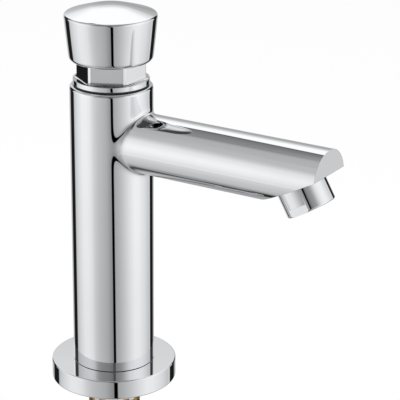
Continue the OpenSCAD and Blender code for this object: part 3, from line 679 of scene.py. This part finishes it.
def return_spring():
    """A round wire wound between its two seats."""
    low, high = SPRING_Z
    wire = arc(SPRING_R, low + SPRING_WIRE_R + SPRING_INSET, SPRING_WIRE_R, 0, 360, 16)
    climb = high - low - 2 * SPRING_WIRE_R - 2 * SPRING_INSET
    return coiled("button_spring", wire, climb / SPRING_TURNS, SPRING_TURNS, 48)


dress(body_skin(), CHROME, "tap", "body")
dress(base_flange(), CHROME, "tap", "base_flange")
dress(bonnet_nut(), CHROME, "tap", "bonnet_nut")
dress(outlet_housing(), CHROME, "tap", "outlet_housing")
dress(push_button(), CHROME, "plunger", "push_button")
dress(inlet_shank(), BRASS, "tap", "inlet_shank")
dress(backnut(), BRASS, "tap", "backnut")
dress(hole_bush(), ACETAL, "tap", "deck_bush")

# Rings: name, outer and inner radius, foot, top, edge round; then the finish, its slot and the CAD node
SHANK_HOLE_R = SHANK_R + CLEARANCE
RINGS = [
    ("under_deck_ring", DECK_WASHER_R, SHANK_HOLE_R, *DECK_WASHER_Z, 0.6, RUBBER, "rubber", "deck_washer"),
    ("clamp_ring", METAL_WASHER_R, SHANK_HOLE_R, *METAL_WASHER_Z, 0.25, STEEL, "steel", "metal_washer"),
    ("flange_gasket", GASKET_R, GASKET_R - GASKET_W, 0.0, GASKET_H, 0.3, RUBBER, "rubber", "base_gasket"),
    ("collar_gasket", COLLAR_GASKET_R, BONNET_BORE_R, COLUMN_TOP, COLLAR_Z, 0.2, RUBBER, "rubber",
     "bonnet_gasket"),
]
for ring, outer, inner, foot, top, edge, material, slot, node in RINGS:
    dress(washer(ring, outer, inner, foot, top, edge), material, "tap", node)

spring = return_spring()
dress(spring, STEEL, "tap", "return_spring")
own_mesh(spring)

FINISHES = {"brass": BRASS, "steel": STEEL, "rubber": RUBBER, "white_plastic": ACETAL,
            "green_plastic": GREEN, "chrome_body": CHROME, "chrome_button": CHROME}
for subpart in frame["record"]["subparts"]:
    solid = frame["nodes"][subpart["node"]]
    solid.data.materials.clear()
    solid.data.materials.append(FINISHES[subpart["material_slot"]])


# The room as polished metal shows it: brightness by the angle in degrees round the tap, counted from the
# photograph's camera, to its left below 0 and to its right above. The walls are two pale screens with
# dark gaps at their sides.
WALLS = [(-180, 0.5), (-154, 0.52), (-149, 0.3), (-146, 0.01), (-124, 0.01), (-121, 0.52), (-105, 0.69),
         (-86, 0.83), (-72, 0.83), (-60, 0.77), (-48, 0.61), (-36, 0.51), (-24, 0.46), (-12, 0.40),
         (-3, 0.30), (3, 0.24), (8, 0.36), (20, 0.44), (33, 0.55), (51, 0.73), (66, 0.85), (80, 0.85),
         (105, 0.71), (122, 0.56), (131, 0.62), (132, 0.01), (154, 0.01), (158, 0.35), (180, 0.5)]
# The narrow dark gap between the screens, how much it leans, and the level where it is in its place
GAP = [(-180, 1.0), (1, 1.0), (1.4, 0.0), (7.6, 0.0), (8, 1.0), (180, 1.0)]
GAP_LEAN, GAP_LEVEL = 0.28, -19.5
# The room above the screens, and how dark their side gaps still are in it
UPPER_ROOM = [(-180, 1.0), (-150, 1.0), (-140, 0.45), (-110, 0.42), (-82, 0.45), (-66, 0.5), (-56, 0.42),
              (-46, 0.27), (-30, 0.18), (0, 0.15), (20, 0.25), (36, 0.42), (50, 0.75), (70, 0.85),
              (90, 0.9), (110, 0.75), (140, 0.5), (155, 0.85), (165, 1.0), (180, 1.0)]
SIDE_GAPS = [(-180, 0.0), (-150, 0.0), (-145, 0.83), (-124, 0.83), (-120, 0.0),
             (130, 0.0), (133, 0.85), (153, 0.9), (157, 0.0), (180, 0.0)]
# The ceiling, and the part of the room that is low, next to the floor
CEILING = [(-180, 1.0), (-165.5, 1.0), (-164, 0.05), (-161, 0.14), (-156, 0.19), (-137, 0.23),
           (-114, 0.25), (-107, 0.36), (-99, 0.42), (-75, 0.45), (-62, 0.4), (-45, 0.06), (60, 0.06),
           (110, 0.45), (150, 0.8), (160, 1.0), (180, 1.0)]
FLOOR_SIDE = [(-180, 0.33), (-140, 0.35), (-134, 0.28), (-129, 0.06), (-121, 0.03), (-113, 0.1),
              (-108, 0.28), (-102, 0.34), (-94, 0.47), (-60, 0.38), (-35, 0.36), (-22, 0.2), (-12, 0.07),
              (16, 0.1), (24, 0.18), (45, 0.36), (68, 0.44), (90, 0.34), (118, 0.2), (141, 0.25),
              (160, 0.36), (180, 0.33)]
# How far a pale screen behind the tap covers the room, and its brightness by the angle above the horizon
BEHIND = [(-180, 1.0), (-174, 1.0), (-166, 0.0), (166, 0.0), (174, 1.0), (180, 1.0)]
SCREEN_BEHIND = [(-90, 0.3), (-40, 0.36), (-5, 0.42), (6, 0.34), (12, 0.38), (18, 0.44), (22, 0.45),
                 (25, 0.67), (27, 0.69), (30, 0.72), (33, 0.9), (37, 0.97), (40, 1.0), (90, 1.0)]
# How much brighter the walls left of that screen are, and how much darker those beside the camera
BESIDE_SCREEN = [(-180, 0.0), (-172, 0.0), (-165, 0.46), (-160, 0.46), (-154, 0.0), (180, 0.0)]
NEAR_CAMERA = [(-180, 0.0), (-52, 0.0), (-40, 0.35), (25, 0.35), (40, 0.0), (180, 0.0)]
# How the walls' brightness changes with the angle above the horizon
TOWARDS_FLOOR = [(-90, 0.61), (-57, 0.61), (-52, 0.64), (-46, 0.67), (-40, 0.745), (-34, 0.79),
                 (-30, 0.95), (-27.5, 0.975), (-26, 0.96), (-24.5, 0.95), (-20, 1.025), (-12, 1.11),
                 (-3, 1.17), (6, 1.13), (14, 1.03), (90, 1.0)]
# The angles above the horizon over which each of these sets in or ends
GAP_LEANS_TO, SIDE_GAPS_TO = (10, 18), (28, 38)
NEAR_CAMERA_FROM, BESIDE_SCREEN_FROM = (-14, 2), (5, 22)
UPPER_ROOM_FROM, CEILING_FROM, ZENITH_FROM = (14, 38), (47, 48.5), (60.5, 72)
FLOOR_SIDE_TO, NADIR_TO = (-58.5, -56.5), (-72, -66)
ZENITH_GREY, NADIR_GREY = 0.45, 0.36
# The share of light that chrome gives back, and the plain light that all other surfaces get
MIRROR_SHARE, PLAIN_LIGHT = 0.85, 0.8


def studio():
    """The room round the tap.

    It is white to the camera, screens and gaps to polished metal, and plain light to the rest.
    """
    world = bpy.data.worlds.new("studio")
    bpy.context.scene.world = world
    world.use_nodes = True
    world.node_tree.nodes.clear()
    room = Value(world.node_tree)
    look = room.node("ShaderNodeTexCoord", output="Generated")
    front = math.radians(CAMERA_AZIMUTH)

    def along(axis):
        return room.node("ShaderNodeVectorMath", {"operation": "DOT_PRODUCT"}, {0: look, 1: axis}, "Value")

    to_right, to_camera = (math.cos(front), math.sin(front), 0), (math.sin(front), -math.cos(front), 0)
    turn = room.maths("ARCTAN2", along(to_right), along(to_camera)) / math.tau + 0.5
    climb = room.maths("ARCSINE", along((0, 0, 1))) / math.pi + 0.5

    def by_stops(share, stops, span):
        scaled = [(angle / span + 0.5, level) for angle, level in stops]
        return room.node("ShaderNodeValToRGB", {"stops": scaled}, {"Fac": share})

    def around(stops):
        return by_stops(turn, stops, 360)

    def upwards(stops):
        return by_stops(climb, stops, 180)

    def above(edge):
        low, high = (angle / 180 + 0.5 for angle in edge)
        return room.node("ShaderNodeMapRange", {"interpolation_type": "SMOOTHSTEP"},
                         {"Value": climb, "From Min": low, "From Max": high})

    def blend(factor, first, second):
        return room.node("ShaderNodeMix", {"data_type": "RGBA"}, {"Factor": factor, 6: first, 7: second}, 2)

    def times(tone, share):
        return room.node("ShaderNodeVectorMath", {"operation": "MULTIPLY"}, {0: tone, 1: share})

    def grey(level):
        return (level, level, level, 1)

    above_gap = (climb - (GAP_LEVEL / 180 + 0.5)) * (1 - above(GAP_LEANS_TO))
    leaning = turn + above_gap * (GAP_LEAN / 2)
    level = upwards(TOWARDS_FLOOR) - around(NEAR_CAMERA) * above(NEAR_CAMERA_FROM)
    level = level + around(BESIDE_SCREEN) * above(BESIDE_SCREEN_FROM)
    walls = times(around(WALLS), level * by_stops(leaning, GAP, 360))
    upper = times(around(UPPER_ROOM), 1 - around(SIDE_GAPS) * (1 - above(SIDE_GAPS_TO)))
    mirrored = blend(above(UPPER_ROOM_FROM), walls, upper)
    mirrored = blend(around(BEHIND), mirrored, upwards(SCREEN_BEHIND))
    mirrored = blend(above(CEILING_FROM), mirrored, around(CEILING))
    mirrored = blend(above(ZENITH_FROM), mirrored, grey(ZENITH_GREY))
    mirrored = blend(above(FLOOR_SIDE_TO), around(FLOOR_SIDE), mirrored)
    mirrored = blend(above(NADIR_TO), grey(NADIR_GREY), mirrored)
    mirrored = room.node("ShaderNodeVectorMath", {"operation": "SCALE"},
                         {0: mirrored, "Scale": 1 / MIRROR_SHARE})
    glossy = room.node("ShaderNodeLightPath", output="Is Glossy Ray")
    seen = room.node("ShaderNodeLightPath", output="Is Camera Ray")
    tone = blend(seen, blend(glossy, grey(PLAIN_LIGHT), mirrored), grey(1))
    light = room.node("ShaderNodeBackground", None, {"Color": tone, "Strength": 1.0})
    out = world.node_tree.nodes.new("ShaderNodeOutputWorld")
    world.node_tree.links.new(light.socket, out.inputs["Surface"])


# The floor: its width in metres, how far it lies under the shank in millimetres, its darker and its paler
# tone, and the share of its white that needs no light
FLOOR_W, FLOOR_DROP, FLOOR_DARK, FLOOR_LIGHT, FLOOR_GLOW = 30, 0.1, 0.96, 0.98, 0.83


def studio_floor():
    """A wide pale floor that keeps a soft shadow; metal mirrors the room in its place."""
    bpy.ops.object.select_all(action="DESELECT")
    bpy.ops.mesh.primitive_plane_add(size=FLOOR_W, location=(0, 0, (SHANK_END - FLOOR_DROP) * MM))
    floor = named(bpy.context.object, "studio_floor")
    material = bpy.data.materials.new("pale_floor")
    material.use_nodes = True
    material.node_tree.nodes.clear()
    sheet = Value(material.node_tree)
    cloud = grain(sheet, place(sheet), 4)
    tone = shade(cloud, (FLOOR_DARK,) * 3, (FLOOR_LIGHT,) * 3)
    matt = sheet.node("ShaderNodeBsdfDiffuse", None, {"Color": tone})
    glow = sheet.node("ShaderNodeEmission", None, {"Color": (1, 1, 1, 1), "Strength": 1.0})
    mixed = sheet.node("ShaderNodeMixShader", None, {0: FLOOR_GLOW, 1: matt, 2: glow})
    out = material.node_tree.nodes.new("ShaderNodeOutputMaterial")
    material.node_tree.links.new(mixed.socket, out.inputs["Surface"])
    floor.data.materials.append(material)
    floor.visible_glossy = False


def lamp(name, spot, aim, size, power):
    """A soft lamp that polished metal doesn't mirror, since the room's screens stand for it there."""
    data = bpy.data.lights.new(name, "AREA")
    data.shape, data.size, data.energy = "DISK", size, power
    light = bpy.data.objects.new(name, data)
    light.location = spot
    light.rotation_euler = (Vector(aim) - Vector(spot)).to_track_quat("-Z", "Y").to_euler()
    light.visible_glossy = False
    bpy.context.collection.objects.link(light)


def camera():
    """The photograph's camera."""
    data = bpy.data.cameras.new("photo_camera")
    data.lens, data.sensor_width = CAMERA_LENS, CAMERA_FRAME
    data.clip_start, data.clip_end = 0.01, 100.0
    eye = bpy.data.objects.new("photo_camera", data)
    turn = Matrix.Rotation(math.radians(CAMERA_AZIMUTH), 4, "Z")
    tilt = Matrix.Rotation(math.radians(90 - CAMERA_PITCH), 4, "X")
    roll = Matrix.Rotation(math.radians(CAMERA_ROLL), 4, "Z")
    eye.matrix_world = Matrix.Translation(CAMERA_AT) @ turn @ tilt @ roll
    bpy.context.collection.objects.link(eye)
    bpy.context.scene.camera = eye


studio()
studio_floor()
TAP_MIDDLE = (0.03, 0, 0.06)
lamp("key_lamp", (-0.5, -0.7, 0.9), TAP_MIDDLE, size=0.6, power=5.0)
lamp("fill_lamp", (0.8, -0.3, 0.6), TAP_MIDDLE, size=0.7, power=3.0)
camera()
bpy.context.scene.view_settings.view_transform = "Standard"
